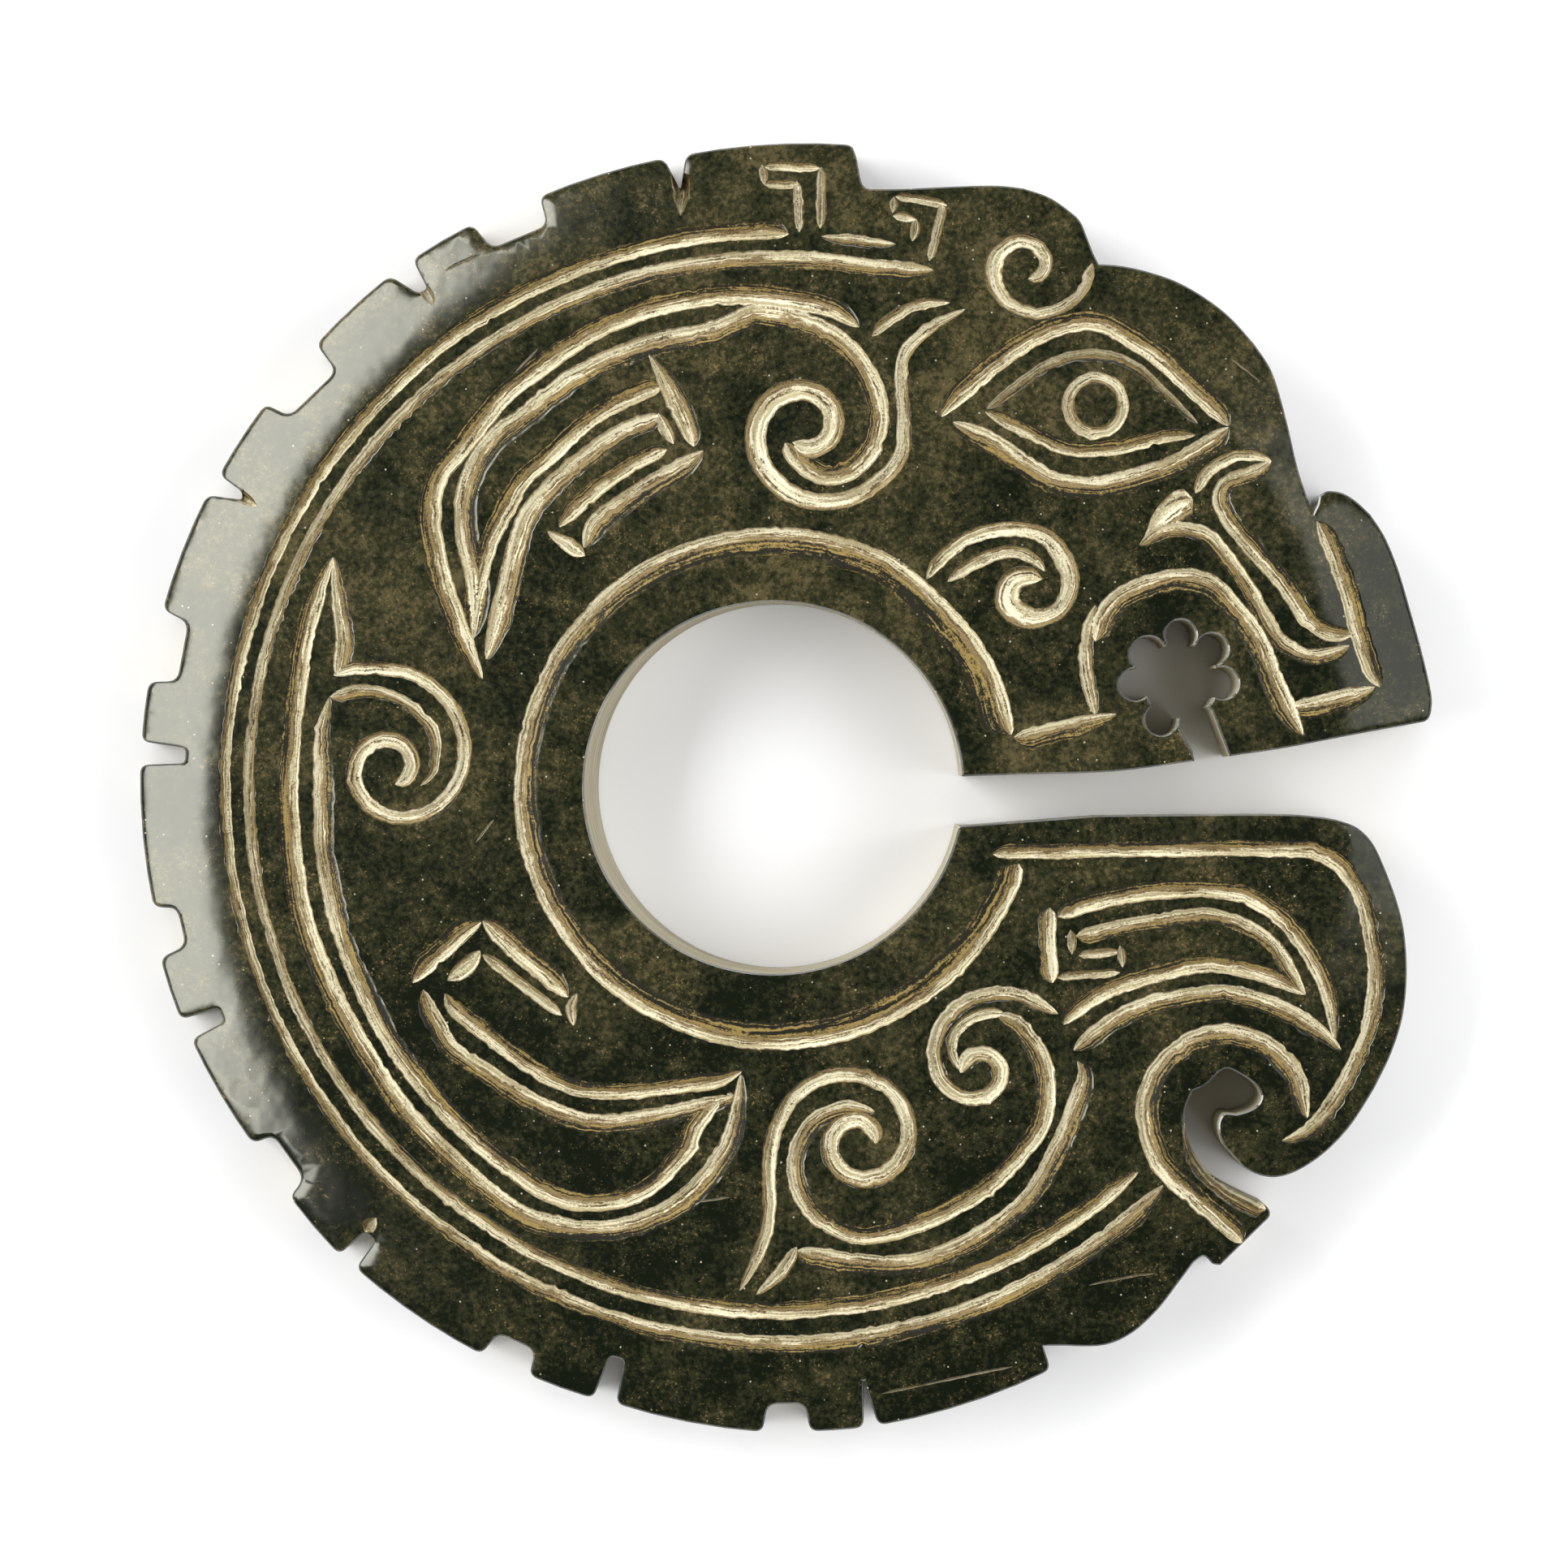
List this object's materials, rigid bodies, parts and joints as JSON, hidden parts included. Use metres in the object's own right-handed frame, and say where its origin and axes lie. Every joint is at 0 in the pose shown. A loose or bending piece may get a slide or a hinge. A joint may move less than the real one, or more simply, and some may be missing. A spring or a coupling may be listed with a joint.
{
  "type": "carved jade slit disc",
  "caption": "Flat jade slit disc carved as a coiled dragon, with a notched rim, a pierced mouth, a curled tail and a round hole.",
  "frame": {"origin": "centre of the plate's extents, on its plain underside", "axes": "+Z out of the carved face, +X through the slit, +Y towards the crest of the head"},
  "size_m": [0.0997, 0.0994, 0.0068],
  "materials": {
    "jade": "polished dark green-black, matt and pale in the cuts"
  },
  "bodies": {
    "root": {"dragon_slit_disc": "jade"}
  },
  "joints": []
}
